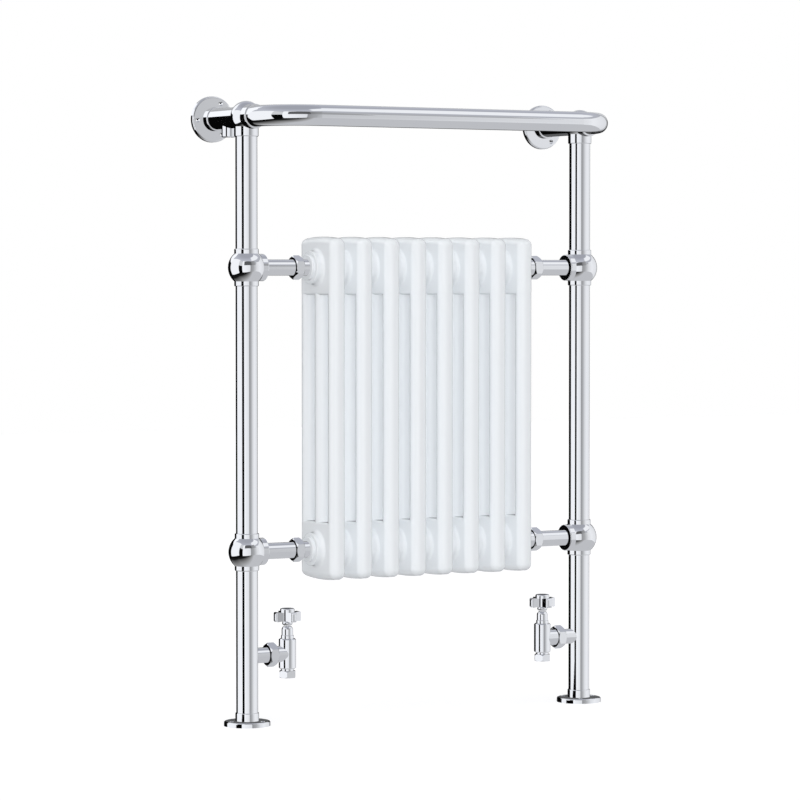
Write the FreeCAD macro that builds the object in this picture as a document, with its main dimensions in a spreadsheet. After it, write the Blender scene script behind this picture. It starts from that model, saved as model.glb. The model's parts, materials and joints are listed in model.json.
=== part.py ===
import FreeCAD, Part
import Sketcher
import math
import os
import re

# A chromed floor-to-wall towel frame that carries an eight-section column radiator between its
# two uprights, with an angle valve on the foot of each upright.
# +X runs along the radiator, +Y to the wall, +Z up. The origin is on the floor, midway between
# the uprights. Left is -X. Lengths are millimetres.

SIZES = {
    # frame layout
    "upright_spacing": 605.0,
    "rail_height": 929.0,
    "wall_distance": 116.0,
    "rail_projection": 100.0,
    "rail_bend": 68.0,
    "upper_link_height": 700.0,
    "lower_link_height": 266.0,
    # frame tube
    "upright_diameter": 33.4,
    "rail_diameter": 32.0,
    "frame_wall": 1.5,
    "socket_fit": 0.05,
    # ball joints and tees
    "ball_diameter": 56.4,
    "ball_reach": 28.5,
    "ball_stop": 14.0,
    "boss_stop": 17.5,
    "collar_diameter": 37.3,
    "boss_diameter": 41.6,
    "tee_ball_diameter": 48.0,
    "tee_reach": 30.0,
    "tee_stop": 15.5,
    "edge_round": 1.2,
    # flanges on the floor and the wall
    "flange_diameter": 71.0,
    "flange_thickness": 7.5,
    "flange_height": 20.0,
    "flange_collar_diameter": 36.2,
    "flange_web": 4.0,
    "screw_circle": 55.0,
    "screw_hole": 4.5,
    "screw_head": 7.6,
    "countersink_depth": 2.0,
    # union joints
    "link_diameter": 24.8,
    "link_wall": 1.5,
    "union_flats": 32.5,
    "union_width": 14.0,
    "union_lip": 2.5,
    "union_thread": 29.0,
    "union_washer": 1.5,
    "union_recess": 1.0,
    "nut_chamfer": 2.2,
    "thread_fit": 0.1,
    "nipple_neck": 11.0,
    # radiator
    "section_count": 8,
    "section_pitch": 48.4,
    "column_pitch": 42.0,
    "column_diameter": 25.0,
    "header_lip": 0.2,
    "header_above": 47.5,
    "header_below": 42.0,
    "header_crown": 3.7,
    "header_round": 10.5,
    "crotch_round": 4.0,
    "hub_diameter": 51.0,
    "hub_root_round": 5.5,
    "hub_bore": 36.0,
    "sheet_wall": 2.0,
    "bush_diameter": 39.0,
    "bush_rim": 5.0,
    "bush_reach": 12.0,
    # angle valve
    "valve_offset": 70.0,
    "valve_port_height": 106.5,
    "valve_diameter": 26.5,
    "valve_bottom": 83.5,
    "valve_top": 130.0,
    "valve_union_distance": 22.4,
    "valve_edge": 1.5,
    "tail_diameter": 23.8,
    "tail_inset": 10.0,
    "port_bore": 17.0,
    "chamber_bore": 20.4,
    "seat_height": 96.0,
    "seat_bore": 12.0,
    "seat_gap": 0.3,
    "pipe_diameter": 15.0,
    "pipe_fit": 0.1,
    "pipe_stop": 91.0,
    "foot_thread": 19.6,
    "foot_bottom": 74.5,
    "compression_flats": 24.0,
    "compression_height": 11.0,
    "compression_bottom": 69.5,
    "compression_lip": 2.5,
    "olive_diameter": 18.6,
    "olive_taper": 2.7,
    "olive_edge": 0.2,
    # bonnet and spindle
    "bonnet_base_diameter": 19.6,
    "bonnet_base_height": 5.3,
    "bonnet_diameter": 17.6,
    "bonnet_barrel_height": 9.5,
    "bonnet_nose_diameter": 12.0,
    "bonnet_nose_height": 4.0,
    "bonnet_skirt": 11.0,
    "spindle_thread": 10.0,
    "spindle_thread_top": 127.0,
    "spindle_diameter": 8.0,
    "running_fit": 0.05,
    "thread_pitch": 1.5,
    "opening_turns": 3.0,
    "jumper_diameter": 15.0,
    "jumper_thickness": 3.0,
    "jumper_stem": 5.0,
    "jumper_stem_length": 6.0,
    # cross handle
    "handle_gap": 1.2,
    "bead_diameter": 16.0,
    "bead_height": 7.0,
    "handle_hub_diameter": 22.4,
    "handle_hub_height": 19.6,
    "handle_reach": 22.5,
    "arm_root_width": 13.0,
    "arm_root_height": 12.0,
    "arm_end_width": 9.6,
    "arm_end_height": 16.0,
    "arm_middle": 6.7,
    "arm_round": 3.6,
    "handle_bore": 7.0,
    "cap_diameter": 14.0,
    "cap_thickness": 2.0,
    "cap_dome": 0.6,
    "handle_screw_head": 8.0,
    "handle_screw_shank": 4.0,
    "handle_screw_length": 10.0,
    "handle_screw_head_height": 4.0,
    "handle_screw_recess": 6.4,
    "handle_web": 2.5,
    "screw_slot_width": 1.0,
    "screw_slot_depth": 1.2,
    # air valve under the left stay
    "air_valve_diameter": 21.4,
    "air_valve_drop": 29.4,
    "air_plug_rim": 4.6,
    "air_plug_reach": 6.0,
    "air_plug_thread": 13.0,
    "air_plug_recess": 9.0,
    "air_screw_diameter": 6.0,
    "air_screw_square": 4.0,
    "air_passage": 5.0,
}

doc = FreeCAD.newDocument("radiator_with_valve")
sheet = doc.addObject("Spreadsheet::Sheet", "Sizes")
for row, (alias, value) in enumerate(SIZES.items(), start=1):
    sheet.set(f"A{row}", alias)
    sheet.set(f"B{row}", str(value))
    sheet.setAlias(f"B{row}", alias)
doc.recompute()

subparts = []

TURN = {
    "+Z": FreeCAD.Rotation(),
    "-Z": FreeCAD.Rotation(FreeCAD.Vector(1, 0, 0), 180),
    "+X": FreeCAD.Rotation(FreeCAD.Vector(0, 1, 0), 90),
    "-X": FreeCAD.Rotation(FreeCAD.Vector(0, 1, 0), -90),
    "+Y": FreeCAD.Rotation(FreeCAD.Vector(1, 0, 0), -90),
    "-Y": FreeCAD.Rotation(FreeCAD.Vector(1, 0, 0), 90),
}
HALF_TURN = FreeCAD.Rotation(FreeCAD.Vector(0, 0, 1), 180)


# ---------------------------------------------------------------- binding to the sheet

def cells(expression):
    """The expression with each size's name turned into a reference to its cell."""
    def cell(word):
        name = word.group(0)
        return "Sizes." + name if name in SIZES else name
    return re.sub(r"[a-z_]+", cell, str(expression))


def size(expression):
    """The number that an expression of the sheet's sizes comes to now."""
    return float(sheet.evalExpression(cells(expression)))


def bind(thing, **expressions):
    """Bind properties of an object to expressions of the sheet's sizes."""
    for name, expression in expressions.items():
        thing.setExpression(name, cells(expression))


def place(thing, position=("0", "0", "0"), turn=FreeCAD.Rotation()):
    """Turn an object and bind where it stands to the sheet."""
    thing.Placement = FreeCAD.Placement(FreeCAD.Vector(), turn)
    for axis, expression in zip("xyz", position):
        thing.setExpression("Placement.Base." + axis, cells(expression))


# ---------------------------------------------------------------- building with PartDesign

def new_body(label):
    body = doc.addObject("PartDesign::Body", label)
    body.Label = label
    return body


def keep(thing):
    """Count an object as a sub-part, to be checked and exported under its label."""
    subparts.append(thing)
    return thing


def origin_part(body, role):
    """One of the body's own origin planes or axes."""
    return next(item for item in body.Origin.OriginFeatures if item.Role == role)


def new_sketch(body, plane, height="0"):
    """A sketch on one of the body's own planes, lifted along that plane's normal."""
    sketch = body.newObject("Sketcher::SketchObject", "Sketch")
    sketch.AttachmentSupport = (origin_part(body, plane), "")
    sketch.MapMode = "FlatFace"
    sketch.setExpression(".AttachmentOffset.Base.z", cells(height))
    return sketch


def constrain(sketch, expression, kind, *places):
    """Add a dimension to a sketch and bind it to the sheet."""
    driven = sketch.addConstraint(Sketcher.Constraint(kind, *places, size(expression)))
    sketch.setExpression(f"Constraints[{driven}]", cells(expression))


def pin_point(sketch, index, corner, position):
    """Bind a point of a sketch's geometry to its distances from the sketch's origin."""
    for kind, expression in zip(("DistanceX", "DistanceY"), position):
        constrain(sketch, expression, kind, -1, 1, index, corner)


def circle(sketch, radius, centre=("0", "0")):
    """A circle whose radius and centre are bound to the sheet."""
    middle = FreeCAD.Vector(size(centre[0]), size(centre[1]), 0)
    index = sketch.addGeometry(Part.Circle(middle, FreeCAD.Vector(0, 0, 1), size(radius)))
    constrain(sketch, radius, "Radius", index)
    pin_point(sketch, index, 3, centre)


def arc_between(start, end, radius, side):
    """The short arc from start to end: side is +1 where it turns left, -1 where it turns right."""
    chord = end - start
    across = FreeCAD.Vector(-chord.y, chord.x, 0).normalize()
    sag = radius - math.sqrt(max(radius ** 2 - (chord.Length / 2) ** 2, 0.0))
    return Part.Arc(start, (start + end) * 0.5 - across * (side * sag), end)


def outline(sketch, corners, closed=True):
    """Lines and arcs from corner to corner, each corner bound to the sheet.

    A corner is (x, y), or (x, y, radius, side) where an arc leads to it.
    """
    points = [FreeCAD.Vector(size(corner[0]), size(corner[1]), 0) for corner in corners]
    spans = range(0 if closed else 1, len(corners))
    ends = []
    for number in spans:
        start = points[number - 1]
        end = points[number]
        if len(corners[number]) == 4:
            radius, side = corners[number][2:]
            index = sketch.addGeometry(arc_between(start, end, size(radius), side))
            constrain(sketch, radius, "Radius", index)
        else:
            index = sketch.addGeometry(Part.LineSegment(start, end))
        forward = (sketch.getPoint(index, 1) - start).Length < (sketch.getPoint(index, 2) - start).Length
        ends.append((index, 1, 2) if forward else (index, 2, 1))
        pin_point(sketch, index, ends[-1][2], corners[number][:2])
    if not closed:
        pin_point(sketch, ends[0][0], ends[0][1], corners[0][:2])
    for number in range(len(ends) if closed else len(ends) - 1):
        index, _, last = ends[number]
        following, first, _ = ends[(number + 1) % len(ends)]
        sketch.addConstraint(Sketcher.Constraint("Coincident", index, last, following, first))


def turned(body, *outlines, cut=False):
    """Turn closed outlines of (radius, height) corners about the body's Z axis."""
    sketch = new_sketch(body, "XZ_Plane")
    for corners in outlines:
        outline(sketch, corners)
    feature = body.newObject("PartDesign::Groove" if cut else "PartDesign::Revolution", "Turned")
    feature.Profile = sketch
    feature.ReferenceAxis = (sketch, ["V_Axis"])
    feature.Angle = 360
    return feature


def padded(body, sketch, length):
    pad = body.newObject("PartDesign::Pad", "Pad")
    pad.Profile = sketch
    bind(pad, Length=length)
    return pad


def cylinder(body, radius, length, position=("0", "0", "0"), axis="+Z", cut=False):
    kind = "PartDesign::SubtractiveCylinder" if cut else "PartDesign::AdditiveCylinder"
    feature = body.newObject(kind, "Bore" if cut else "Cylinder")
    bind(feature, Radius=radius, Height=length)
    place(feature, position, TURN[axis])
    return feature


def bore(body, radius, length, position=("0", "0", "0"), axis="+Z"):
    return cylinder(body, radius, length, position, axis, cut=True)


def cone(body, radius, end_radius, length, position=("0", "0", "0"), axis="+Z", cut=True):
    kind = "PartDesign::SubtractiveCone" if cut else "PartDesign::AdditiveCone"
    feature = body.newObject(kind, "Cone")
    bind(feature, Radius1=radius, Radius2=end_radius, Height=length)
    place(feature, position, TURN[axis])
    return feature


def patterned(body, features, count):
    """Repeat features round the body's Z axis."""
    pattern = body.newObject("PartDesign::PolarPattern", "Pattern")
    pattern.Originals = features
    pattern.Axis = (origin_part(body, "Z_Axis"), [""])
    pattern.Angle = 360
    pattern.Occurrences = count
    body.Tip = pattern
    return pattern


def rounded(body, radius, chosen, kind="PartDesign::Fillet"):
    """Round or chamfer the edges of the body so far that chosen(edge) picks."""
    doc.recompute()
    base = body.Tip
    names = [f"Edge{number}" for number, edge in enumerate(base.Shape.Edges, start=1) if chosen(edge)]
    feature = body.newObject(kind, "Edges")
    feature.Base = (base, names)
    bind(feature, **{"Radius" if kind.endswith("Fillet") else "Size": radius})
    return feature


def is_rim(edge, radius, centre):
    """Whether an edge is a whole circle of that radius about that centre."""
    if edge.Degenerated:
        return False
    curve = edge.Curve
    return (isinstance(curve, Part.Circle) and abs(curve.Radius - size(radius)) < 1e-4
            and (curve.Center - FreeCAD.Vector(*[size(value) for value in centre])).Length < 1e-4)


def round_rims(body, radius, rims, kind="PartDesign::Fillet"):
    """Round the body's circular edges given as (radius, centre) pairs."""
    return rounded(body, radius, lambda edge: any(is_rim(edge, *rim) for rim in rims), kind)


def copy_of(source, label, shift=("0", "0", "0"), turn=FreeCAD.Rotation()):
    """The source once more, shifted, or turned about the origin's vertical axis."""
    twin = doc.addObject("Part::Compound", label)
    twin.Label = label
    twin.Links = [source]
    place(twin, shift, turn)
    return twin


def keep_both_sides(piece):
    """Keep a left-hand piece and its right-hand twin, turned about the middle of the radiator."""
    keep(piece)
    keep(copy_of(piece, piece.Label.replace("left", "right"), turn=HALF_TURN))


def group(label, members):
    """Several separate solids in one sub-part."""
    together = doc.addObject("Part::Compound", label)
    together.Label = label
    together.Links = members
    return keep(together)


# ---------------------------------------------------------------- places that pieces share

LEFT = "-upright_spacing / 2"
FIRST_SCREW = "63 deg"
HUB_FACE = "(section_count * section_pitch / 2)"
HEADER_WIDTH = "(column_diameter + 2 * header_lip)"
LINK_UNION = f"({HUB_FACE} + bush_rim + nipple_neck)"
VALVE_AXIS = "(upright_spacing / 2 - valve_offset)"
VALVE_UNION = f"({VALVE_AXIS} + valve_union_distance)"
WASHER_START = "(union_width - 2 * union_lip - thread_fit - union_washer)"
COLLAR_START = "(union_width - 2 * union_lip - thread_fit)"
COLLAR_END = "(union_width - union_lip - thread_fit)"
LINK_DROP = "lower_link_height - upper_link_height"
SPINDLE_FOOT = "(seat_height + jumper_thickness + 2 * seat_gap)"
GLAND = "(spindle_thread_top + opening_turns * thread_pitch + seat_gap)"
BONNET_TOP = "(valve_top + bonnet_base_height + bonnet_barrel_height + bonnet_nose_height)"
HANDLE_FOOT = f"({BONNET_TOP} + handle_gap)"
HUB_FOOT = f"({HANDLE_FOOT} + bead_height)"
HANDLE_TOP = f"({HUB_FOOT} + handle_hub_height)"
CAP_SEAT = f"({HANDLE_TOP} - cap_thickness)"
SCREW_SEAT = f"({CAP_SEAT} - handle_screw_recess)"
SPINDLE_TOP = f"({SCREW_SEAT} - handle_web)"
AIR_VALVE = (LEFT, "wall_distance / 2", "rail_height - air_valve_drop")


# ---------------------------------------------------------------- frame

def tube(label, diameter, wall, length, position, axis="+Z"):
    body = new_body(label)
    sketch = new_sketch(body, "XY_Plane")
    circle(sketch, f"{diameter} / 2")
    circle(sketch, f"{diameter} / 2 - {wall}")
    padded(body, sketch, length)
    place(body, position, TURN[axis])
    return body


def flange(label, tube_diameter):
    """A round foot with a collar that holds a tube's end, and three countersunk screw holes."""
    body = new_body(label)
    rim = "flange_diameter / 2"
    collar = "flange_collar_diameter / 2"
    socket = f"{tube_diameter} / 2 + socket_fit"
    turned(body, [
        ("0", "0"),
        (rim, "0"),
        (rim, "flange_thickness - 2 * edge_round"),
        (f"{rim} - 2 * edge_round", "flange_thickness", "2 * edge_round", 1),
        (collar, "flange_thickness"),
        (collar, "flange_height - edge_round"),
        (f"{collar} - edge_round", "flange_height", "edge_round", 1),
        (socket, "flange_height"),
        (socket, "flange_web"),
        ("0", "flange_web"),
    ])
    centre = (f"screw_circle / 2 * cos({FIRST_SCREW})", f"screw_circle / 2 * sin({FIRST_SCREW})")
    hole = bore(body, "screw_hole / 2", "flange_thickness", (*centre, "0"))
    sink = cone(body, "screw_hole / 2", "screw_head / 2", "countersink_depth",
                (*centre, "flange_thickness - countersink_depth"))
    patterned(body, [hole, sink], 3)
    return body


def ball_joint(label):
    """A ball with a collar up and down for the uprights and a boss for the link to the radiator."""
    body = new_body(label)
    ball = body.newObject("PartDesign::AdditiveSphere", "Ball")
    bind(ball, Radius="ball_diameter / 2")
    cylinder(body, "collar_diameter / 2", "2 * ball_reach", ("0", "0", "-ball_reach"))
    cylinder(body, "boss_diameter / 2", "ball_reach", axis="+X")
    round_rims(body, "edge_round", [
        ("collar_diameter / 2", ("0", "0", "ball_reach")),
        ("collar_diameter / 2", ("0", "0", "-ball_reach")),
        ("boss_diameter / 2", ("ball_reach", "0", "0")),
    ])
    bore(body, "upright_diameter / 2 - frame_wall", "2 * ball_reach", ("0", "0", "-ball_reach"))
    for axis in ("+Z", "-Z"):
        stop = "ball_stop" if axis == "+Z" else "-ball_stop"
        bore(body, "upright_diameter / 2 + socket_fit", "ball_reach", ("0", "0", stop), axis)
    bore(body, "link_diameter / 2 - link_wall", "ball_reach", axis="+X")
    bore(body, "link_diameter / 2 + socket_fit", "ball_reach", ("boss_stop", "0", "0"), "+X")
    return body


def tee(label):
    """The ball at the top of an upright: a sleeve down, a sleeve forward and a socket to the wall."""
    body = new_body(label)
    ball = body.newObject("PartDesign::AdditiveSphere", "Ball")
    bind(ball, Radius="tee_ball_diameter / 2")
    for axis in ("-Z", "-Y"):
        cylinder(body, "collar_diameter / 2", "tee_reach", axis=axis)
    round_rims(body, "edge_round", [
        ("collar_diameter / 2", ("0", "0", "-tee_reach")),
        ("collar_diameter / 2", ("0", "-tee_reach", "0")),
    ])
    bore(body, "upright_diameter / 2 - frame_wall", "tee_reach", axis="-Z")
    bore(body, "rail_diameter / 2 - frame_wall", "tee_reach", axis="-Y")
    bore(body, "upright_diameter / 2 + socket_fit", "tee_reach", ("0", "0", "-tee_stop"), "-Z")
    bore(body, "rail_diameter / 2 + socket_fit", "tee_reach", ("0", "-tee_stop", "0"), "-Y")
    bore(body, "rail_diameter / 2 + socket_fit", "tee_reach", ("0", "tee_stop", "0"), "+Y")
    return body


def top_rail():
    """One tube that leaves the left tee forwards, crosses in front and returns to the right tee."""
    body = new_body("top_rail")
    side = "upright_spacing / 2"
    corner = f"({side} - rail_bend)"
    turn_in = "-(rail_projection - rail_bend)"
    path = new_sketch(body, "XY_Plane")
    outline(path, [
        (f"-{side}", "-tee_stop"),
        (f"-{side}", turn_in),
        (f"-{corner}", "-rail_projection", "rail_bend", 1),
        (corner, "-rail_projection"),
        (side, turn_in, "rail_bend", 1),
        (side, "-tee_stop"),
    ], closed=False)
    ring = new_sketch(body, "XZ_Plane", "tee_stop")
    for radius in ("rail_diameter / 2", "rail_diameter / 2 - frame_wall"):
        circle(ring, radius, (f"-{side}", "0"))
    doc.recompute()
    pipe = body.newObject("PartDesign::AdditivePipe", "Pipe")
    pipe.Profile = ring
    pipe.Spine = (path, [])
    place(body, ("0", "0", "rail_height"))
    return body


def uprights():
    """The three lengths of each upright, between its flange, its two ball joints and its tee."""
    foot = tube("lower_upright_left", "upright_diameter", "frame_wall",
                "lower_link_height - ball_stop - flange_web", (LEFT, "0", "flange_web"))
    bore(foot, "tail_diameter / 2 + socket_fit", "upright_diameter",
         ("0", "0", "valve_port_height - flange_web"), "+X")
    middle = tube("middle_upright_left", "upright_diameter", "frame_wall",
                  "upper_link_height - lower_link_height - 2 * ball_stop",
                  (LEFT, "0", "lower_link_height + ball_stop"))
    top = tube("upper_upright_left", "upright_diameter", "frame_wall",
               "rail_height - tee_stop - upper_link_height - ball_stop",
               (LEFT, "0", "upper_link_height + ball_stop"))
    for piece in (foot, middle, top):
        keep_both_sides(piece)


def stays():
    """The tubes from the tees back to the wall. The left one is pierced below for the air valve."""
    length = "wall_distance - flange_web - tee_stop"
    for side, across in (("left", LEFT), ("right", "upright_spacing / 2")):
        start = (across, "tee_stop", "rail_height")
        stay = keep(tube(f"stay_tube_{side}", "rail_diameter", "frame_wall", length, start, "+Y"))
        if side == "left":
            bore(stay, "air_passage / 2", "rail_diameter", ("0", "0", "wall_distance / 2 - tee_stop"), "+Y")


def frame():
    uprights()
    foot = flange("base_flange_left", "upright_diameter")
    place(foot, (LEFT, "0", "0"))
    upper = ball_joint("upper_ball_left")
    place(upper, (LEFT, "0", "upper_link_height"))
    lower = copy_of(upper, "lower_ball_left", ("0", "0", LINK_DROP))
    for piece in (foot, upper, lower):
        keep_both_sides(piece)
    head = tee("tee_left")
    place(head, (LEFT, "0", "rail_height"))
    plate = flange("wall_flange_left", "rail_diameter")
    place(plate, (LEFT, "wall_distance", "rail_height"), TURN["-Y"])
    for piece in (head, plate):
        keep(piece)
        keep(copy_of(piece, piece.Label.replace("left", "right"), ("upright_spacing", "0", "0")))
    stays()
    keep(top_rail())


# ---------------------------------------------------------------- unions

def hexagon(body, flats, height):
    """A hexagonal prism with corners on the X axis, its corners chamfered at both ends."""
    corner = f"({flats} / sqrt(3))"
    sketch = new_sketch(body, "XY_Plane")
    outline(sketch, [
        (corner, "0"),
        (f"{corner} / 2", f"{flats} / 2"),
        (f"-{corner} / 2", f"{flats} / 2"),
        (f"-{corner}", "0"),
        (f"-{corner} / 2", f"-{flats} / 2"),
        (f"{corner} / 2", f"-{flats} / 2"),
    ])
    padded(body, sketch, height)
    inner = f"{flats} / 2 - running_fit"
    outer = f"{corner} + thread_fit"
    turned(body,
           [(inner, "0"), (outer, "0"), (outer, "nut_chamfer")],
           [(inner, height), (outer, f"{height} - nut_chamfer"), (outer, height)], cut=True)


def stand_on_union(piece, start, height, offset="0"):
    """Lay a left-hand piece along -X, its local height measured from the union nut's inner face."""
    place(piece, (f"-{start} - {offset}", "0", height), TURN["-X"])


def union_nut(label, tube_diameter):
    """The nut that draws a tube's collar to a threaded neck. Its height runs from neck to tube."""
    body = new_body(label)
    hexagon(body, "union_flats", "union_width")
    bore(body, "union_thread / 2 + thread_fit", "union_width - union_lip")
    bore(body, f"{tube_diameter} / 2 + thread_fit", "union_width")
    return body


def collared_tube(label, diameter, length):
    """A tube with the collar that its union nut pulls on."""
    body = new_body(label)
    outer = f"{diameter} / 2"
    inner = f"({diameter} / 2 - link_wall)"
    collar = "union_thread / 2"
    turned(body, [
        (inner, COLLAR_START),
        (collar, COLLAR_START),
        (collar, COLLAR_END),
        (outer, COLLAR_END),
        (outer, length),
        (inner, length),
    ])
    return body


def union_washer(label):
    body = new_body(label)
    sketch = new_sketch(body, "XY_Plane")
    circle(sketch, "union_thread / 2")
    circle(sketch, "link_diameter / 2 - link_wall")
    padded(body, sketch, "union_washer")
    return body


def link_nipple(label):
    """The nipple from the link's union into the bush: its collar is threaded for the nut."""
    body = new_body(label)
    outer = "link_diameter / 2"
    inner = "link_diameter / 2 - link_wall"
    end = "-(nipple_neck + bush_rim + bush_reach)"
    turned(body, [
        (inner, end),
        (outer, end),
        (outer, "union_recess"),
        ("union_thread / 2", "union_recess"),
        ("union_thread / 2", WASHER_START),
        (inner, WASHER_START),
    ])
    return body


def reducing_bush(label):
    """The bush that brings the hub's bore down to the nipple."""
    body = new_body(label)
    inner = "link_diameter / 2 + thread_fit"
    rim = "bush_diameter / 2"
    seat = "-(nipple_neck + bush_rim)"
    thread = "hub_bore / 2 - thread_fit"
    turned(body, [
        (inner, f"{seat} - bush_reach"),
        (thread, f"{seat} - bush_reach"),
        (thread, seat),
        (rim, seat),
        (rim, "-nipple_neck - edge_round"),
        (f"{rim} - edge_round", "-nipple_neck", "edge_round", 1),
        (inner, "-nipple_neck"),
    ])
    return body


def at_four_links(source):
    """A piece of the upper left link and its copies at the other three links."""
    lower = copy_of(source, f"{source.Label}_lower", ("0", "0", LINK_DROP))
    pair = [source, lower]
    return pair + [copy_of(piece, f"{piece.Label}_right", turn=HALF_TURN) for piece in pair]


def links():
    """What joins each ball joint to the radiator's hub. Returns the washers inside the unions."""
    reach = f"upright_spacing / 2 - boss_stop - {LINK_UNION}"
    upper = collared_tube("link_tube_upper_left", "link_diameter", reach)
    stand_on_union(upper, LINK_UNION, "upper_link_height")
    keep_both_sides(upper)
    keep_both_sides(copy_of(upper, "link_tube_lower_left", ("0", "0", LINK_DROP)))
    pieces = {
        "link_nuts": union_nut("link_nut", "link_diameter"),
        "link_nipples": link_nipple("link_nipple"),
        "reducing_bushes": reducing_bush("reducing_bush"),
    }
    for label, piece in pieces.items():
        stand_on_union(piece, LINK_UNION, "upper_link_height")
        group(label, at_four_links(piece))
    washer = union_washer("link_washer")
    stand_on_union(washer, LINK_UNION, "upper_link_height", WASHER_START)
    return at_four_links(washer)


# ---------------------------------------------------------------- radiator

def slot(sketch, width, reach):
    """A slot about the sketch's origin, long in Y, with round ends centred at plus and minus reach."""
    half = size(width) / 2
    end = size(reach)
    upward = FreeCAD.Vector(0, 0, 1)
    edges = []
    for way in (1, -1):
        corners = [FreeCAD.Vector(way * half, across * end, 0) for across in (-way, way)]
        side = Part.LineSegment(*corners)
        round_end = Part.Circle(FreeCAD.Vector(0, way * end, 0), upward, half)
        first_angle = 0 if way == 1 else math.pi
        edges.append(sketch.addGeometry(side))
        edges.append(sketch.addGeometry(Part.ArcOfCircle(round_end, first_angle, first_angle + math.pi)))
        pin_point(sketch, edges[-1], 3, ("0", reach if way == 1 else f"-{reach}"))
        constrain(sketch, f"{width} / 2", "Radius", edges[-1])
    for number, edge in enumerate(edges):
        following = edges[(number + 1) % len(edges)]
        sketch.addConstraint(Sketcher.Constraint("Tangent", edge, 2, following, 1))


def lies_between(edge, low, high):
    """Whether the whole of an edge lies between two heights."""
    box = edge.BoundBox
    return box.ZMin > size(low) - 1e-4 and box.ZMax < size(high) + 1e-4


def crowned(body, end, way):
    """Cut a header's outer end to a shallow arch from its front column to its back one."""
    half = f"({HEADER_WIDTH} / 2 + column_pitch)"
    shoulder = f"({end} - {way} * header_crown)"
    clear = f"({end} + {way} * header_crown)"
    arch = f"({half} ^ 2 + header_crown ^ 2) / (2 * header_crown)"
    sketch = new_sketch(body, "YZ_Plane")
    outline(sketch, [
        (f"-{half}", clear),
        (f"-{half}", shoulder),
        (half, shoulder, arch, -way),
        (half, clear),
    ])
    cut = body.newObject("PartDesign::Pocket", "Crown")
    cut.Profile = sketch
    cut.Midplane = True
    bind(cut, Length=f"2 * {HEADER_WIDTH}")


def header(body, link, way):
    """A hollow header about a link's height, crowned and well rounded at its outer end.

    way is 1 for the upper header and -1 for the lower one.
    """
    outer = f"({link} + {way} * header_above)"
    inner = f"({link} - {way} * header_below)"
    shoulder = f"({outer} - {way} * header_crown)"
    ceiling = f"({shoulder} - {way} * sheet_wall)"
    floor = f"({inner} + {way} * sheet_wall)"
    for width, start, end, kind in (
        (HEADER_WIDTH, inner, outer, "PartDesign::Pad"),
        (f"({HEADER_WIDTH} - 2 * sheet_wall)", floor, ceiling, "PartDesign::Pocket"),
    ):
        section = new_sketch(body, "XY_Plane", start)
        slot(section, width, "column_pitch")
        feature = body.newObject(kind, "Hollow" if kind.endswith("Pocket") else "Block")
        feature.Profile = section
        feature.Reversed = (way < 0) != kind.endswith("Pocket")
        bind(feature, Length=f"{way} * ({end} - {start})")
    rounded(body, "header_round - sheet_wall", lambda edge: lies_between(edge, ceiling, ceiling))
    crowned(body, outer, way)
    rim = (shoulder, outer) if way > 0 else (outer, shoulder)
    rounded(body, "header_round", lambda edge: lies_between(edge, *rim))
    rounded(body, "crotch_round", lambda edge: lies_between(edge, inner, inner))


def hubs(body, height):
    """The two bosses of a header, each of which meets the next section's boss face to face."""
    radius = "hub_diameter / 2"
    root = f"({HEADER_WIDTH} / 2)"
    face = "section_pitch / 2"
    for axis, way in (("+X", ""), ("-X", "-")):
        cylinder(body, radius, f"{face} - {root} + sheet_wall",
                 (f"{way}({root} - sheet_wall)", "0", height), axis)
    for rounding, distance in (("hub_root_round", root), ("edge_round", face)):
        round_rims(body, rounding, [(radius, (f"{way}{distance}", "0", height)) for way in ("", "-")])
    bore(body, "hub_bore / 2", "section_pitch", (f"-{face}", "0", height), "+X")


def radiator_section(label):
    """Three columns between two headers, with a boss each side of each header, all hollow."""
    body = new_body(label)
    header(body, "upper_link_height", 1)
    header(body, "lower_link_height", -1)
    for height in ("upper_link_height", "lower_link_height"):
        hubs(body, height)
    overlap = "1.5 * crotch_round"
    bottom = "(lower_link_height + header_below)"
    length = f"upper_link_height - header_below - {bottom} + 2 * {overlap}"
    columns = [("0", across, f"{bottom} - {overlap}") for across in ("-column_pitch", "0", "column_pitch")]
    for foot in columns:
        cylinder(body, "column_diameter / 2", length, foot)
    for foot in columns:
        bore(body, "column_diameter / 2 - sheet_wall", length, foot)
    place(body, ("-(section_count - 1) / 2 * section_pitch", "0", "0"))
    return body


def radiator():
    first = keep(radiator_section("radiator_section_1"))
    for number in range(2, int(size("section_count")) + 1):
        keep(copy_of(first, f"radiator_section_{number}", (f"{number - 1} * section_pitch", "0", "0")))


# ---------------------------------------------------------------- angle valves

def stand_on_valve(piece):
    """Stand a left-hand piece on the valve's axis, its local height measured from the floor."""
    place(piece, (f"-{VALVE_AXIS}", "0", "0"))
    return piece


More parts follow.
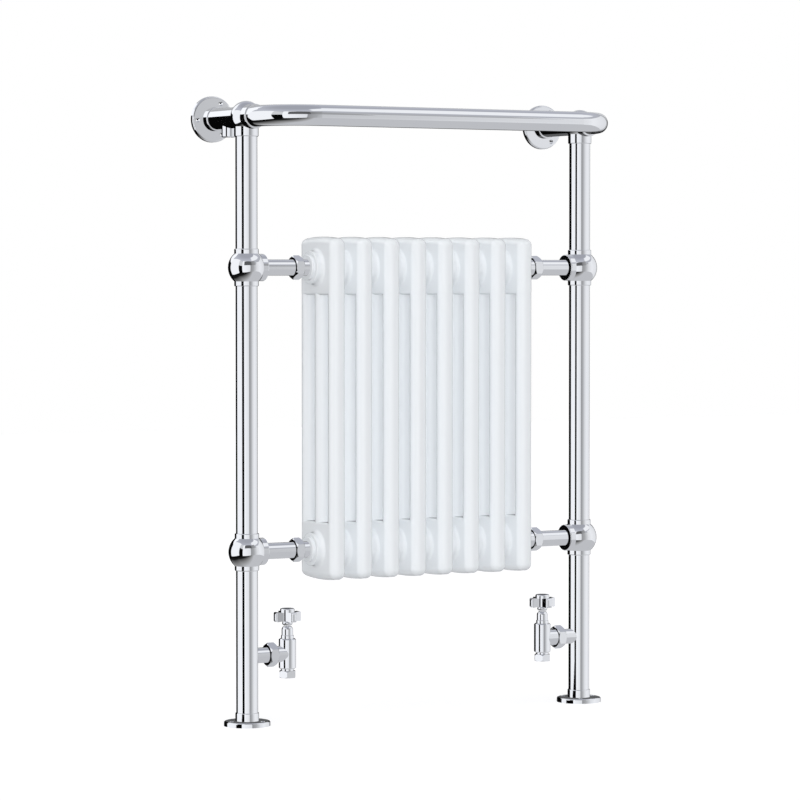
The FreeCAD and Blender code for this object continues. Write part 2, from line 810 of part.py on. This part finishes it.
def valve_body(label):
    """Pipe in at the foot, seat across the middle, bonnet on top and a neck to the union."""
    body = new_body(label)
    radius = "valve_diameter / 2"
    port = "valve_port_height"
    cylinder(body, radius, "valve_top - valve_bottom", ("0", "0", "valve_bottom"))
    round_rims(body, "valve_edge", [(radius, ("0", "0", end)) for end in ("valve_top", "valve_bottom")],
               "PartDesign::Chamfer")
    cylinder(body, "foot_thread / 2", "valve_bottom - foot_bottom", ("0", "0", "foot_bottom"))
    neck_end = "valve_union_distance + union_recess"
    cylinder(body, "link_diameter / 2", neck_end, ("0", "0", port), "-X")
    cylinder(body, "union_thread / 2", f"{WASHER_START} - union_recess",
             (f"-({neck_end})", "0", port), "-X")
    bore(body, "port_bore / 2", f"valve_union_distance + {WASHER_START}", ("0", "0", port), "-X")
    bore(body, "pipe_diameter / 2 + pipe_fit", "pipe_stop - foot_bottom", ("0", "0", "foot_bottom"))
    cone(body, "olive_diameter / 2", "pipe_diameter / 2 + pipe_fit + olive_edge",
         "olive_taper", ("0", "0", "foot_bottom"))
    bore(body, "seat_bore / 2", "seat_height - pipe_stop", ("0", "0", "pipe_stop"))
    bore(body, "chamber_bore / 2", "valve_top - seat_height", ("0", "0", "seat_height"))
    return stand_on_valve(body)


def compression_nut(label):
    body = new_body(label)
    hexagon(body, "compression_flats", "compression_height")
    bore(body, "pipe_diameter / 2 + pipe_fit", "compression_height")
    bore(body, "foot_thread / 2 + thread_fit", "compression_height", ("0", "0", "compression_lip"))
    place(body, (f"-{VALVE_AXIS}", "0", "compression_bottom"))
    return body


def olive(label):
    """The soft ring that the compression nut squeezes on the pipe, tapered at both ends."""
    body = new_body(label)
    inner = "pipe_diameter / 2 + pipe_fit"
    foot = "compression_bottom + compression_lip + thread_fit"
    widest = "foot_bottom - thread_fit"
    turned(body, [
        (inner, foot),
        (f"{inner} + olive_edge", foot),
        ("olive_diameter / 2", widest),
        (f"{inner} + olive_edge", f"{widest} + olive_taper"),
        (inner, f"{widest} + olive_taper"),
    ])
    return stand_on_valve(body)


def bonnet(label):
    """The headwork screwed in the valve's top, which the spindle's thread runs in."""
    body = new_body(label)
    skirt = "chamber_bore / 2 - thread_fit"
    base = "bonnet_base_diameter / 2"
    barrel = "bonnet_diameter / 2"
    nose = "bonnet_nose_diameter / 2"
    thread = "spindle_thread / 2 + running_fit"
    stem = "spindle_diameter / 2 + running_fit"
    base_top = "(valve_top + bonnet_base_height)"
    barrel_top = f"({base_top} + bonnet_barrel_height)"
    turned(body, [
        (thread, "valve_top - bonnet_skirt"),
        (skirt, "valve_top - bonnet_skirt"),
        (skirt, "valve_top"),
        (base, "valve_top"),
        (base, f"{base_top} - edge_round"),
        (f"{base} - edge_round", base_top, "edge_round", 1),
        (barrel, base_top),
        (barrel, barrel_top),
        (nose, BONNET_TOP, "2 * bonnet_nose_height", 1),
        (stem, BONNET_TOP),
        (stem, GLAND),
        (thread, GLAND),
    ])
    return stand_on_valve(body)


def spindle(label):
    body = new_body(label)
    thread = "spindle_thread / 2"
    stem = "spindle_diameter / 2"
    end = "handle_bore / 2 - running_fit"
    turned(body, [
        ("0", SPINDLE_FOOT),
        (thread, SPINDLE_FOOT),
        (thread, "spindle_thread_top"),
        (stem, "spindle_thread_top"),
        (stem, HANDLE_FOOT),
        (end, HANDLE_FOOT),
        (end, SPINDLE_TOP),
        ("0", SPINDLE_TOP),
    ])
    bore(body, "jumper_stem / 2 + running_fit", "jumper_stem_length", ("0", "0", SPINDLE_FOOT))
    bore(body, "handle_screw_shank / 2 + running_fit", "handle_screw_length", ("0", "0", SPINDLE_TOP), "-Z")
    return stand_on_valve(body)


def jumper(label):
    """The disc that closes the seat. Its stem is held loosely in the spindle's foot."""
    body = new_body(label)
    disc_foot = "(seat_height + seat_gap)"
    disc_top = f"({disc_foot} + jumper_thickness)"
    turned(body, [
        ("0", disc_foot),
        ("jumper_diameter / 2", disc_foot),
        ("jumper_diameter / 2", disc_top),
        ("jumper_stem / 2", disc_top),
        ("jumper_stem / 2", f"{disc_top} + jumper_stem_length"),
        ("0", f"{disc_top} + jumper_stem_length"),
    ])
    return stand_on_valve(body)


def handle_arm(body):
    """One arm along X, flaring from the hub to its end."""
    sections = []
    for distance, width, height in (
        ("handle_hub_diameter / 4", "arm_root_width", "arm_root_height"),
        ("handle_reach", "arm_end_width", "arm_end_height"),
    ):
        sketch = new_sketch(body, "YZ_Plane", distance)
        middle = f"({HUB_FOOT} + arm_middle)"
        outline(sketch, [
            (f"-{width} / 2", f"{middle} - {height} / 2"),
            (f"{width} / 2", f"{middle} - {height} / 2"),
            (f"{width} / 2", f"{middle} + {height} / 2"),
            (f"-{width} / 2", f"{middle} + {height} / 2"),
        ])
        sections.append(sketch)
    doc.recompute()
    arm = body.newObject("PartDesign::AdditiveLoft", "Arm")
    arm.Profile = sections[0]
    arm.Sections = sections[1:]
    arm.Ruled = True
    return arm


def handle(label):
    """A cross handle: a bead round its foot, a hub and four flared arms."""
    body = new_body(label)
    bead = "bead_diameter / 2"
    curve = "bead_height / 2"
    hub_radius = "handle_hub_diameter / 2"
    turned(body, [
        ("0", HANDLE_FOOT),
        (f"{bead} - {curve}", HANDLE_FOOT),
        (bead, f"{HANDLE_FOOT} + {curve}", curve, 1),
        (f"{bead} - {curve}", HUB_FOOT, curve, 1),
        (hub_radius, HUB_FOOT),
        (hub_radius, f"{HANDLE_TOP} - 2 * edge_round"),
        (f"{hub_radius} - 2 * edge_round", HANDLE_TOP, "2 * edge_round", 1),
        ("0", HANDLE_TOP),
    ])
    arms = patterned(body, [handle_arm(body)], 4)
    reach = size("handle_reach")
    rounded(body, "arm_round", lambda edge: is_arm_end(edge, reach))
    levels = [HANDLE_FOOT, f"{SPINDLE_TOP} + thread_fit", SCREW_SEAT, CAP_SEAT, HANDLE_TOP]
    bores = ["handle_bore", "handle_screw_shank", "handle_screw_head", "cap_diameter"]
    for number, diameter in enumerate(bores):
        fit = "0" if diameter == "handle_bore" else "running_fit"
        start, end = levels[number:number + 2]
        bore(body, f"{diameter} / 2 + {fit}", f"{end} - ({start})", ("0", "0", start))
    return stand_on_valve(body)


def is_arm_end(edge, reach):
    """Whether an edge bounds the flat end of one of the handle's arms."""
    box = edge.BoundBox
    ends = ((box.XMin, box.XMax), (box.YMin, box.YMax))
    return any(abs(low - high) < 1e-4 and abs(abs(low) - reach) < 1e-4 for low, high in ends)


def handle_screw(label):
    """The screw that holds the handle to the spindle, with a slot across its head."""
    body = new_body(label)
    shank = "handle_screw_shank / 2"
    head = "handle_screw_head / 2"
    head_top = f"({SCREW_SEAT} + handle_screw_head_height)"
    turned(body, [
        ("0", f"{SCREW_SEAT} - handle_screw_length"),
        (shank, f"{SCREW_SEAT} - handle_screw_length"),
        (shank, SCREW_SEAT),
        (head, SCREW_SEAT),
        (head, head_top),
        ("0", head_top),
    ])
    driver = body.newObject("PartDesign::SubtractiveBox", "Driver_slot")
    bind(driver, Length="handle_screw_head", Width="screw_slot_width", Height="screw_slot_depth")
    place(driver, ("-handle_screw_head / 2", "-screw_slot_width / 2", f"{head_top} - screw_slot_depth"))
    return stand_on_valve(body)


def handle_cap(label):
    """The disc that hides the screw, slightly domed."""
    body = new_body(label)
    radius = "cap_diameter / 2"
    turned(body, [
        ("0", CAP_SEAT),
        (radius, CAP_SEAT),
        (radius, HANDLE_TOP),
        ("0", f"{HANDLE_TOP} + cap_dome", "(cap_diameter ^ 2 / 4 + cap_dome ^ 2) / (2 * cap_dome)", 1),
    ])
    return stand_on_valve(body)


def valves():
    """Both angle valves and what they hold. Returns the washers inside their unions."""
    tail_length = "valve_offset - valve_union_distance - tail_inset"
    tail = collared_tube("valve_tail_left", "tail_diameter", tail_length)
    nut = union_nut("valve_union_nut_left", "tail_diameter")
    for piece in (tail, nut):
        stand_on_union(piece, VALVE_UNION, "valve_port_height")
    pieces = [tail, nut]
    pieces += [make(f"{make.__name__}_left") for make in (
        valve_body, compression_nut, bonnet, spindle, jumper, handle, handle_screw, handle_cap)]
    for piece in pieces:
        keep_both_sides(piece)
    ring = olive("olive_left")
    group("olives", [ring, copy_of(ring, "olive_right", turn=HALF_TURN)])
    washer = union_washer("valve_washer")
    stand_on_union(washer, VALVE_UNION, "valve_port_height", WASHER_START)
    return [washer, copy_of(washer, "valve_washer_right", turn=HALF_TURN)]


# ---------------------------------------------------------------- air valve

def air_valve():
    """A round vent under the left stay: its body, the plug in its mouth and the bleed screw."""
    body = new_body("air_valve_body")
    radius = "air_valve_diameter / 2"
    cylinder(body, radius, "air_valve_drop - air_plug_rim", ("0", "0", "air_plug_rim"))
    bore(body, "rail_diameter / 2 + socket_fit", "2 * air_valve_diameter",
         ("0", "-air_valve_diameter", "air_valve_drop"), "+Y")
    bore(body, "air_passage / 2", "air_valve_drop", ("0", "0", "air_plug_rim"))
    bore(body, "air_plug_thread / 2 + thread_fit", "air_plug_reach + thread_fit",
         ("0", "0", "air_plug_rim"))

    plug = new_body("air_valve_plug")
    key_depth = "(air_plug_rim - edge_round)"
    turned(plug, [
        ("air_screw_diameter / 2 + running_fit", key_depth),
        ("air_plug_recess / 2", key_depth),
        ("air_plug_recess / 2", "0"),
        (f"{radius} - edge_round", "0"),
        (radius, "edge_round"),
        (radius, "air_plug_rim"),
        ("air_plug_thread / 2", "air_plug_rim"),
        ("air_plug_thread / 2", "air_plug_rim + air_plug_reach"),
        ("air_screw_diameter / 2 + running_fit", "air_plug_rim + air_plug_reach"),
    ])

    screw = new_body("air_valve_screw")
    cylinder(screw, "air_screw_diameter / 2", f"air_plug_rim + air_plug_reach - {key_depth}",
             ("0", "0", key_depth))
    square = screw.newObject("PartDesign::AdditiveBox", "Key")
    bind(square, Length="air_screw_square", Width="air_screw_square", Height=f"{key_depth} - seat_gap")
    place(square, ("-air_screw_square / 2", "-air_screw_square / 2", "seat_gap"))
    for piece in (body, plug, screw):
        place(piece, AIR_VALVE)
        keep(piece)


# ---------------------------------------------------------------- the model

def build():
    frame()
    link_washers = links()
    radiator()
    valve_washers = valves()
    group("union_washers", link_washers + valve_washers)
    air_valve()


def check_and_write():
    doc.recompute()
    for thing in doc.Objects:
        if {"Invalid", "Error"} & set(thing.State):
            raise RuntimeError(f"{thing.Label} failed: {thing.State}")
    for thing in subparts:
        if thing.Shape.isNull() or not thing.Shape.isValid():
            raise RuntimeError(f"{thing.Label} has no valid shape")
    os.makedirs("parts", exist_ok=True)
    for thing in subparts:
        thing.Shape.exportStep(f"parts/{thing.Label}.step")


build()
check_and_write()
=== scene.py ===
import json
import math

import bpy
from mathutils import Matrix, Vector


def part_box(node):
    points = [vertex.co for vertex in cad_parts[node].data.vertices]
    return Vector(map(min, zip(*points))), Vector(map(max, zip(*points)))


# The look of a chromed towel frame with a white column radiator between its uprights.
# Metres, in the frame of the CAD model: +X along the radiator, +Y to the wall, +Z up.

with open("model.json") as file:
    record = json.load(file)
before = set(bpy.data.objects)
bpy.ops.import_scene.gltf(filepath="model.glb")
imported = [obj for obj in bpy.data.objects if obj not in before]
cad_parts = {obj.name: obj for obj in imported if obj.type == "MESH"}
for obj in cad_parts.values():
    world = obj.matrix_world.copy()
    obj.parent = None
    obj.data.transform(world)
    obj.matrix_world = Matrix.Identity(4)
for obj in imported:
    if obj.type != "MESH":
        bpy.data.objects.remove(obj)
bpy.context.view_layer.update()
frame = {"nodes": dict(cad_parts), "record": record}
scene = bpy.context.scene
scene.view_settings.view_transform = "Standard"


# ---------------------------------------------------------------- camera

camera_place = (-2.8155, -4.7654, 0.6947)
camera_turn = 30.291                # degrees to the right of straight at the wall
camera_dip = 2.091                  # degrees below level
focal_length = 159.0                # millimetres, as the sensor's width is
sensor_width = 36.0


def add_camera():
    """The photograph's viewpoint: from the left and a little above, through a long lens."""
    lens = bpy.data.cameras.new("camera")
    lens.lens = focal_length
    lens.sensor_width = sensor_width
    camera = bpy.data.objects.new("camera", lens)
    camera.location = camera_place
    camera.rotation_euler = (math.radians(90 - camera_dip), 0, math.radians(-camera_turn))
    scene.collection.objects.link(camera)
    scene.camera = camera


# ---------------------------------------------------------------- node helpers

class Nodes:
    """Short calls for building a node tree. Most give back an output for the next one to read."""

    # The Mix node has sockets for every kind of value. These are the ones that mix colours.
    mix_share, mix_first, mix_second, mix_result = 0, 6, 7, 2
    # Most of a noise lies between these two.
    noise_low, noise_high = 0.3, 0.7

    def __init__(self, tree):
        self.tree = tree
        tree.nodes.clear()

    def add(self, kind, inputs=None, **settings):
        """A new node, given its settings first and then its inputs."""
        node = self.tree.nodes.new(kind)
        for name, value in settings.items():
            setattr(node, name, value)
        for name, value in (inputs or {}).items():
            self.feed(node.inputs[name], value)
        return node

    def feed(self, socket, value):
        """Link another node's output to a socket, or write a plain value on it."""
        if isinstance(value, bpy.types.NodeSocket):
            self.tree.links.new(value, socket)
        else:
            socket.default_value = value

    def math(self, operation, first, second=0.0):
        return self.add("ShaderNodeMath", {0: first, 1: second}, operation=operation).outputs[0]

    def times(self, first, second):
        return self.math("MULTIPLY", first, second)

    def object_place(self):
        return self.add("ShaderNodeTexCoord").outputs["Object"]

    def split(self, vector):
        return self.add("ShaderNodeSeparateXYZ", {0: vector}).outputs

    def noise(self, scale, detail=2.0, stretch=(1, 1, 1)):
        """A noise that lies in the object, and not in the room."""
        mapping = self.add("ShaderNodeMapping", {"Vector": self.object_place(), "Scale": stretch})
        return self.add("ShaderNodeTexNoise", {
            "Vector": mapping.outputs[0], "Scale": scale, "Detail": detail,
        }).outputs["Fac"]

    def between(self, value, low, high):
        """A noise, or a switch that is 0 or 1, spread from low to high."""
        return self.add("ShaderNodeMapRange", {
            "Value": value, "From Min": self.noise_low, "From Max": self.noise_high,
            "To Min": low, "To Max": high,
        }).outputs[0]

    def rise(self, value, start, end):
        """0 before the start and 1 past the end, which may be the lower of the two."""
        return self.add("ShaderNodeMapRange", {
            "Value": value, "From Min": start, "From Max": end,
        }).outputs[0]

    def mix(self, share, first, second):
        """The first colour where the share is 0, and the second where it is 1."""
        return self.add("ShaderNodeMix", {
            self.mix_share: share, self.mix_first: first, self.mix_second: second,
        }, data_type="RGBA").outputs[self.mix_result]

    def tint(self, share, low, high):
        return self.mix(share, (*low, 1), (*high, 1))

    def mottled(self, scale, low, high, detail=2.0):
        """Two near colours in patches that run into each other."""
        return self.tint(self.between(self.noise(scale, detail), 0.0, 1.0), low, high)

    def ramp(self, value, stops):
        """A colour that runs through the stops, each a place between 0 and 1 and its colour."""
        node = self.add("ShaderNodeValToRGB", {"Fac": value})
        elements = node.color_ramp.elements
        elements.remove(elements[1])
        elements[0].position = stops[0][0]
        elements[0].color = (*stops[0][1], 1)
        for place, colour in stops[1:]:
            elements.new(place).color = (*colour, 1)
        return node.outputs[0]

    def bump(self, height, strength, distance=0.0002):
        return self.add("ShaderNodeBump", {
            "Height": height, "Strength": strength, "Distance": distance,
        }).outputs[0]

    def surface(self, colour, roughness, bump, metallic=0.0):
        return self.add("ShaderNodeBsdfPrincipled", {
            "Base Color": colour, "Metallic": metallic, "Roughness": roughness, "Normal": bump,
        }).outputs[0]

    def glow(self, colour, strength=1.0):
        return self.add("ShaderNodeEmission", {"Color": colour, "Strength": strength}).outputs[0]


def material(name, build):
    """A new material whose surface is what the function gives back."""
    made = bpy.data.materials.new(name)
    made.use_nodes = True
    nodes = Nodes(made.node_tree)
    output = nodes.add("ShaderNodeOutputMaterial")
    nodes.feed(output.inputs["Surface"], build(nodes))
    return made


# ---------------------------------------------------------------- materials

chrome_colours = (0.915, 0.925, 0.95), (0.935, 0.94, 0.955)
enamel_colours = (0.836, 0.862, 0.885), (0.846, 0.871, 0.892)
brass_colours = (0.72, 0.52, 0.22), (0.80, 0.62, 0.30)
rubber_colours = (0.02, 0.02, 0.022), (0.035, 0.034, 0.036)
steel_colours = (0.50, 0.51, 0.53), (0.60, 0.61, 0.62)
brass_roughness = 0.28
plated_spindle_roughness = 0.05
plating_below_bonnet_top = 0.002


def chrome(nodes):
    """Bright plating: very smooth, with the slight waviness and haze of polished brass under it."""
    haze = nodes.between(nodes.noise(38.0, 4.0), 0.022, 0.042)
    waves = nodes.bump(nodes.noise(45.0, 1.0), 0.01, distance=0.0003)
    return nodes.surface(nodes.mottled(12.0, *chrome_colours), haze, waves, metallic=1.0)


def enamel(nodes):
    """Stoved white enamel with a fine orange peel."""
    roughness = nodes.between(nodes.noise(60.0), 0.10, 0.14)
    peel = nodes.bump(nodes.noise(420.0), 0.04)
    return nodes.surface(nodes.mottled(9.0, *enamel_colours, detail=3.0), roughness, peel)


def turning_rings(nodes, scale, sideways, strength):
    """Fine rings from the lathe: a noise that changes along Z and hardly at all sideways."""
    return nodes.bump(nodes.noise(scale, 1.0, stretch=(sideways, sideways, 1.0)), strength)


def brass(nodes):
    rings = turning_rings(nodes, 900.0, 0.02, 0.15)
    return nodes.surface(nodes.mottled(55.0, *brass_colours), brass_roughness, rings, metallic=1.0)


def plated_brass(nodes):
    """The spindle: brass in the valve, and plated where it comes out between bonnet and handle."""
    height = nodes.split(nodes.object_place())["Z"]
    bonnet_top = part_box("bonnet_left")[1][2]
    plated = nodes.math("GREATER_THAN", height, bonnet_top - plating_below_bonnet_top)
    patches = nodes.between(nodes.noise(55.0), 0.0, 1.0)
    colour = nodes.mix(plated, nodes.tint(patches, *brass_colours), nodes.tint(patches, *chrome_colours))
    roughness = nodes.between(plated, brass_roughness, plated_spindle_roughness)
    rings = turning_rings(nodes, 900.0, 0.02, 0.1)
    return nodes.surface(colour, roughness, rings, metallic=1.0)


def rubber(nodes):
    """Black fibre and rubber with a fine grain."""
    grain = nodes.bump(nodes.noise(900.0), 0.2)
    return nodes.surface(nodes.mottled(300.0, *rubber_colours), 0.75, grain)


def steel(nodes):
    rings = turning_rings(nodes, 1100.0, 0.05, 0.1)
    return nodes.surface(nodes.mottled(70.0, *steel_colours), 0.32, rings, metallic=1.0)


def dress_cad_nodes():
    """Give each CAD node the material of its slot in the record. The metal mirrors only the studio."""
    builders = {
        "chrome": chrome,
        "white_enamel": enamel,
        "brass": brass,
        "fibre_rubber": rubber,
        "steel": steel,
        "plated_brass": plated_brass,
    }
    looks = {slot: material(slot, build) for slot, build in builders.items()}
    for part in frame["record"]["subparts"]:
        node = frame["nodes"][part["node"]]
        node.data.materials.clear()
        node.data.materials.append(looks[part["material_slot"]])
        node.visible_glossy = False
    for side in ("left", "right"):
        frame["nodes"][f"spindle_{side}"].data.materials[0] = looks["plated_brass"]


# ---------------------------------------------------------------- light

plating_sends_back = 0.93
neutral = (1.0, 1.0, 1.0)
cool = (0.985, 1.0, 1.03)
ceiling_tint = (0.97, 1.0, 1.12)
white = (*neutral, 1)
even_light = (0.46, 0.464, 0.47, 1)

# A soft box on the ceiling at the front right. Its edges are given by how much a direction points
# up, to the right, or to the wall: first where the box begins, then where it is fully there.
soft_box_level = 0.93
soft_box_bottom = 0.615, 0.64
soft_box_top = 0.875, 0.855
soft_box_left = 0.10, 0.20
soft_box_back = 0.04, -0.04


def shown_as(level, tint=neutral):
    """The light that the plating shows at that display level, after it sends back its share."""
    linear = ((level + 0.055) / 1.055) ** 2.4       # the sRGB display's own curve
    return tuple(linear * share / plating_sends_back for share in tint)


def seen_directly(nodes):
    """1 for what the camera sees straight or through glass, 0 otherwise."""
    rays = nodes.add("ShaderNodeLightPath").outputs
    return nodes.math("MAXIMUM", rays["Is Camera Ray"], rays["Is Transmission Ray"])


def soft_box(nodes, across, depth, height):
    """1 in the soft box's directions, 0 elsewhere."""
    upward = nodes.times(nodes.rise(height, *soft_box_bottom), nodes.rise(height, *soft_box_top))
    sideways = nodes.times(nodes.rise(across, *soft_box_left), nodes.rise(depth, *soft_box_back))
    return nodes.times(upward, sideways)


def sky():
    """White to the eye, an even light on the object, and a grey ceiling with a soft box in the metal."""
    world = bpy.data.worlds.new("studio")
    scene.world = world
    world.use_nodes = True
    nodes = Nodes(world.node_tree)
    direction = nodes.add("ShaderNodeTexCoord").outputs["Generated"]
    across, depth, height = nodes.split(direction)
    ceiling = nodes.ramp(height, [(0.30, shown_as(0.66, cool)),
                                  (0.70, shown_as(0.72, ceiling_tint)),
                                  (0.92, shown_as(0.63, ceiling_tint))])
    box_light = (*shown_as(soft_box_level, cool), 1)
    mirrored = nodes.mix(soft_box(nodes, across, depth, height), ceiling, box_light)
    rays = nodes.add("ShaderNodeLightPath").outputs
    light = nodes.mix(rays["Is Glossy Ray"], even_light, mirrored)
    shown = nodes.mix(seen_directly(nodes), light, white)
    background = nodes.add("ShaderNodeBackground", {"Color": shown, "Strength": 1.0})
    output = nodes.add("ShaderNodeOutputWorld")
    nodes.feed(output.inputs["Surface"], background.outputs[0])


def add_light(name, bearing, height, energy, spread, shadows=True):
    """A sun so many degrees to the left of the front and above the floor, as soft as its spread."""
    lamp = bpy.data.lights.new(name, "SUN")
    lamp.energy = energy
    lamp.angle = math.radians(spread)
    lamp.use_shadow = shadows
    made = bpy.data.objects.new(name, lamp)
    made.rotation_euler = (math.radians(90 - height), 0, math.radians(-bearing))
    made.visible_glossy = False
    scene.collection.objects.link(made)


def add_lights():
    """Two suns cast the shadows. Three fills cast none, and so reach in between the columns."""
    add_light("front_light", bearing=32, height=5, energy=0.25, spread=24)
    add_light("front_fill", bearing=5, height=5, energy=0.68, spread=24, shadows=False)
    add_light("left_fill", bearing=80, height=12, energy=1.02, spread=40, shadows=False)
    add_light("right_fill", bearing=-75, height=8, energy=0.55, spread=40, shadows=False)
    add_light("top_light", bearing=30, height=70, energy=0.60, spread=60)


# ---------------------------------------------------------------- floor

floor_reach = 9.0
floor_colour = (0.34, 0.34, 0.35, 1)
floor_glow = 0.24                   # what it gives off to everything
floor_glow_for_the_eye = 0.54       # and what the camera sees on top of that


def quad(name, corners, made):
    mesh = bpy.data.meshes.new(name)
    mesh.from_pydata(corners, [], [(0, 1, 2, 3)])
    mesh.materials.append(made)
    made_object = bpy.data.objects.new(name, mesh)
    scene.collection.objects.link(made_object)
    return made_object


def level_square(name, reach, height, made):
    """A level square that reaches so far from the middle on each side."""
    corners = [(-reach, -reach, height), (reach, -reach, height),
               (reach, reach, height), (-reach, reach, height)]
    return quad(name, corners, made)


def add_floor():
    """A pale floor that shows as white as the backdrop but for the object's shadow."""
    def surface(nodes):
        grain = nodes.between(nodes.noise(3.0), 0.99, 1.0)
        eye_sees_more = nodes.times(seen_directly(nodes), floor_glow_for_the_eye)
        strength = nodes.times(nodes.math("ADD", eye_sees_more, floor_glow), grain)
        shaded = nodes.add("ShaderNodeBsdfDiffuse", {"Color": floor_colour}).outputs[0]
        return nodes.add("ShaderNodeAddShader", {0: nodes.glow(white, strength), 1: shaded}).outputs[0]
    floor = level_square("floor", floor_reach, 0, material("floor", surface))
    floor.visible_glossy = False


# ---------------------------------------------------------------- what the metal mirrors

# The metal mirrors the panels below and the sky's ceiling, and nothing else: the lamps, the floor
# and the object's own pieces are hidden from it.

studio_floor = -0.50
studio_floor_reach = 6.0
# Painted shade on the studio floor: how far its shades run, and how much each metre left or aside
# deepens it.
studio_floor_ramp = 2.0             # metres from one end of its shades to the other
leftward_counts = 0.966             # of each metre to the left
aside_counts = 0.26                 # of each metre off the object's line
palest_floor_tint = (0.985, 1.0, 1.04)
skirting_near = -0.164              # the skirting's top edge, at its end near the front
skirting_far = -0.426
kerb_top = 0.32
flag_left_top = 1.02
flag_behind_top = 1.30
bar_bottom = 1.15
bar_top = 2.1
front_wall_top = 1.75
left_wall_top = 2.1
wall_top = 2.4
wall_behind_top = 3.2
black = 0.02

# Where the walls start and end on plan, from behind the object on the left and round by the front.
behind_left = (-1.72, 1.95)
left_middle = (-1.765, -0.325)
left_front = (-2.02, -1.25)
front_left = (-0.42, -2.60)
front_middle = (0.60, -2.60)
front_right = (1.90, -2.60)
right_front = (2.9, -1.6)
right_behind = (2.9, 1.4)

# The same for the ones that stand or hang free of that round.
flag_behind_end = (2.7, 1.95)
kerb_start = (0.5, 1.90)
kerb_end = (2.7, 1.90)
wall_behind_start = (-1.80, 2.05)
wall_behind_middle = (-0.30, 2.05)
wall_behind_end = (2.8, 2.0)
bar_left = (-1.57, -1.41)
bar_middle = (-0.14, -1.90)
bar_right = (0.75, -1.65)


def only_metal_sees(panel):
    panel.visible_camera = False
    panel.visible_diffuse = False
    panel.visible_shadow = False
    panel.visible_transmission = False
    panel.visible_volume_scatter = False


def add_panel(name, start, end, low, high, level, end_level=None, ends=None):
    """An upright panel that only the metal sees, from one point on plan to another.

    It shows at one display level all over, or changes along it to the end level. Its low and high
    edges are level, unless ends says how high they are at its end.
    """
    def surface(nodes):
        along = nodes.split(nodes.add("ShaderNodeTexCoord").outputs["UV"])["X"]
        return nodes.glow(nodes.tint(along, shown_as(level, cool), shown_as(end_level or level, cool)))
    low_end, high_end = ends or (low, high)
    corners = [(*start, low), (*end, low_end), (*end, high_end), (*start, high)]
    panel = quad(name, corners, material(name, surface))
    layer = panel.data.uv_layers.new(name="UVMap")
    for loop, place in zip(layer.data, ((0, 0), (1, 0), (1, 1), (0, 1))):
        loop.uv = place
    only_metal_sees(panel)


def add_studio_floor():
    """The studio's floor, lower than the object's own, with painted shade to the left and off the
    middle.
    """
    def surface(nodes):
        place = nodes.split(nodes.object_place())
        to_left = nodes.times(place["X"], -leftward_counts)
        aside = nodes.times(nodes.math("ABSOLUTE", place["Y"]), aside_counts)
        # Painted shade: the studio floor grows darker to the left and off the object's line.
        darker = nodes.times(nodes.math("ADD", to_left, aside), 1 / studio_floor_ramp)
        return nodes.glow(nodes.ramp(darker, [(0.12, shown_as(0.74, palest_floor_tint)),
                                              (0.31, shown_as(0.58)),
                                              (0.50, shown_as(0.40)),
                                              (0.70, shown_as(0.08))]))
    made = material("studio_floor", surface)
    only_metal_sees(level_square("studio_floor", studio_floor_reach, studio_floor, made))


def add_walls_behind():
    """Pale walls over a black flag, with a grey kerb before its right half."""
    add_panel("flag_behind", behind_left, flag_behind_end, studio_floor, flag_behind_top, black)
    add_panel("kerb_behind", kerb_start, kerb_end, studio_floor, kerb_top, level=0.36)
    add_panel("wall_behind", wall_behind_start, wall_behind_middle, studio_floor, wall_behind_top,
              level=0.98)
    add_panel("wall_behind_right", wall_behind_middle, wall_behind_end, flag_behind_top, wall_top,
              level=0.66, end_level=0.84)


def add_walls_left():
    """A white wall over a black skirting whose top slants, then a flag with a pale wall over it."""
    add_panel("wall_left", left_middle, behind_left, skirting_near, left_wall_top,
              level=0.95, ends=(skirting_far, left_wall_top))
    add_panel("skirting_left", left_middle, behind_left, studio_floor, skirting_near,
              black, ends=(studio_floor, skirting_far))
    add_panel("flag_left", left_front, left_middle, studio_floor, flag_left_top, black)
    add_panel("wall_over_flag_left", left_front, left_middle, flag_left_top, left_wall_top, level=0.80)


def add_walls_front():
    """Walls that are greyest in the middle, with a darker bar hung before them."""
    add_panel("wall_front_left", left_front, front_left, studio_floor, wall_top,
              level=0.96, end_level=0.87)
    add_panel("bar_front", bar_left, bar_middle, bar_bottom, bar_top, level=0.35)
    add_panel("bar_front_right", bar_middle, bar_right, bar_bottom, bar_top,
              level=0.50, end_level=0.62)
    add_panel("wall_front", front_left, front_middle, studio_floor, front_wall_top,
              level=0.57, end_level=0.66)
    add_panel("wall_front_right", front_middle, front_right, studio_floor, front_wall_top,
              level=0.68, end_level=0.86)


def add_walls_right():
    """Pale walls, lightest where they meet."""
    add_panel("wall_right_near", front_right, right_front, studio_floor, wall_top,
              level=0.86, end_level=0.92)
    add_panel("wall_right", right_front, right_behind, studio_floor, wall_top,
              level=0.92, end_level=0.86)


add_camera()
sky()
add_lights()
add_floor()
add_studio_floor()
add_walls_behind()
add_walls_left()
add_walls_front()
add_walls_right()
dress_cad_nodes()
